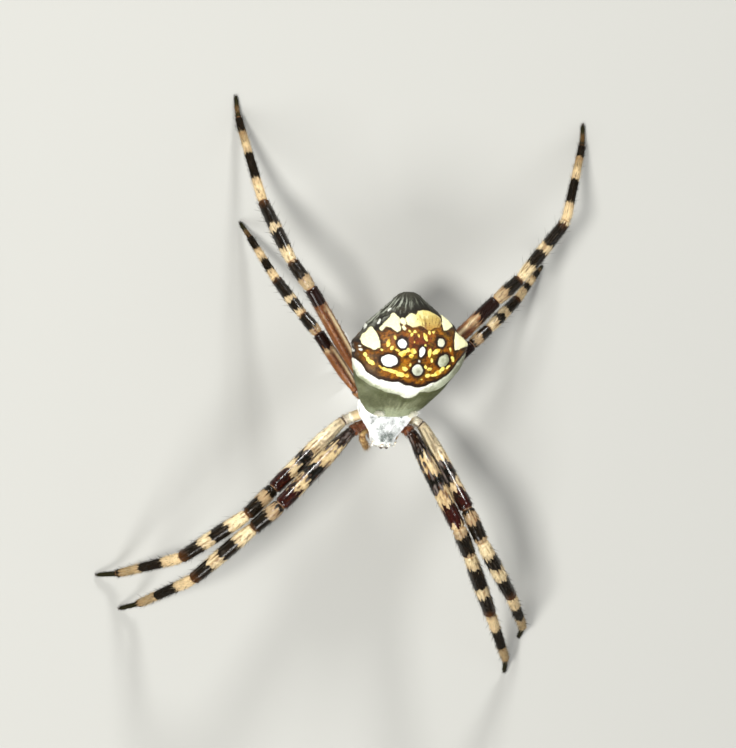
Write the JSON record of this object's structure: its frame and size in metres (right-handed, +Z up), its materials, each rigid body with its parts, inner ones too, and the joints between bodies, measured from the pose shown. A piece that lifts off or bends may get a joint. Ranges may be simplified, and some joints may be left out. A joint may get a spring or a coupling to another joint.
{
  "type": "silver garden orb weaver spider",
  "caption": "Life-size garden orb weaver, an adult female at rest on level ground in the spread pose it holds in its web, with banded legs and a lobed silver, white and brown abdomen.",
  "frame": {"origin": "middle of the bounding box, on the floor under the feet", "axes": "+Z up (the spider's back), the head looks along -Y, the abdomen lies along +Y, the spider's own left side is +X"},
  "size_m": [0.0426, 0.0528, 0.0144],
  "materials": {
    "silver_carapace": "cuticle under a coat of flat silver-white hairs",
    "abdomen_cuticle": "satin cuticle, brown field with cream lobes, white spots and a silver front",
    "leg_cuticle": "satin banded cuticle, cream and blackish brown with orange-brown edges",
    "dark_cuticle": "dark brown satin cuticle",
    "eye_lens": "polished black lens"
  },
  "bodies": {
    "root": {"carapace": "silver_carapace", "sternum": "dark_cuticle", "pedicel": "dark_cuticle", "abdomen": "abdomen_cuticle", "spinnerets": "dark_cuticle", "chelicera_left": "dark_cuticle", "pedipalp_left": "leg_cuticle", "eye_anterior_median_left": "eye_lens", "eye_posterior_median_left": "eye_lens", "eye_anterior_lateral_left": "eye_lens", "eye_posterior_lateral_left": "eye_lens", "chelicera_right": "dark_cuticle", "pedipalp_right": "leg_cuticle", "eye_anterior_median_right": "eye_lens", "eye_posterior_median_right": "eye_lens", "eye_anterior_lateral_right": "eye_lens", "eye_posterior_lateral_right": "eye_lens", "leg_L1_coxa": "leg_cuticle", "leg_L1_femur": "leg_cuticle", "leg_L1_patella": "leg_cuticle", "leg_L1_tibia": "leg_cuticle", "leg_L1_foot": "leg_cuticle", "leg_L2_coxa": "leg_cuticle", "leg_L2_femur": "leg_cuticle", "leg_L2_patella": "leg_cuticle", "leg_L2_tibia": "leg_cuticle", "leg_L2_foot": "leg_cuticle", "leg_L3_coxa": "leg_cuticle", "leg_L3_femur": "leg_cuticle", "leg_L3_patella": "leg_cuticle", "leg_L3_tibia": "leg_cuticle", "leg_L3_foot": "leg_cuticle", "leg_L4_coxa": "leg_cuticle", "leg_L4_femur": "leg_cuticle", "leg_L4_patella": "leg_cuticle", "leg_L4_tibia": "leg_cuticle", "leg_L4_foot": "leg_cuticle", "leg_R1_coxa": "leg_cuticle", "leg_R1_femur": "leg_cuticle", "leg_R1_patella": "leg_cuticle", "leg_R1_tibia": "leg_cuticle", "leg_R1_foot": "leg_cuticle", "leg_R2_coxa": "leg_cuticle", "leg_R2_femur": "leg_cuticle", "leg_R2_patella": "leg_cuticle", "leg_R2_tibia": "leg_cuticle", "leg_R2_foot": "leg_cuticle", "leg_R3_coxa": "leg_cuticle", "leg_R3_femur": "leg_cuticle", "leg_R3_patella": "leg_cuticle", "leg_R3_tibia": "leg_cuticle", "leg_R3_foot": "leg_cuticle", "leg_R4_coxa": "leg_cuticle", "leg_R4_femur": "leg_cuticle", "leg_R4_patella": "leg_cuticle", "leg_R4_tibia": "leg_cuticle", "leg_R4_foot": "leg_cuticle"}
  },
  "joints": []
}
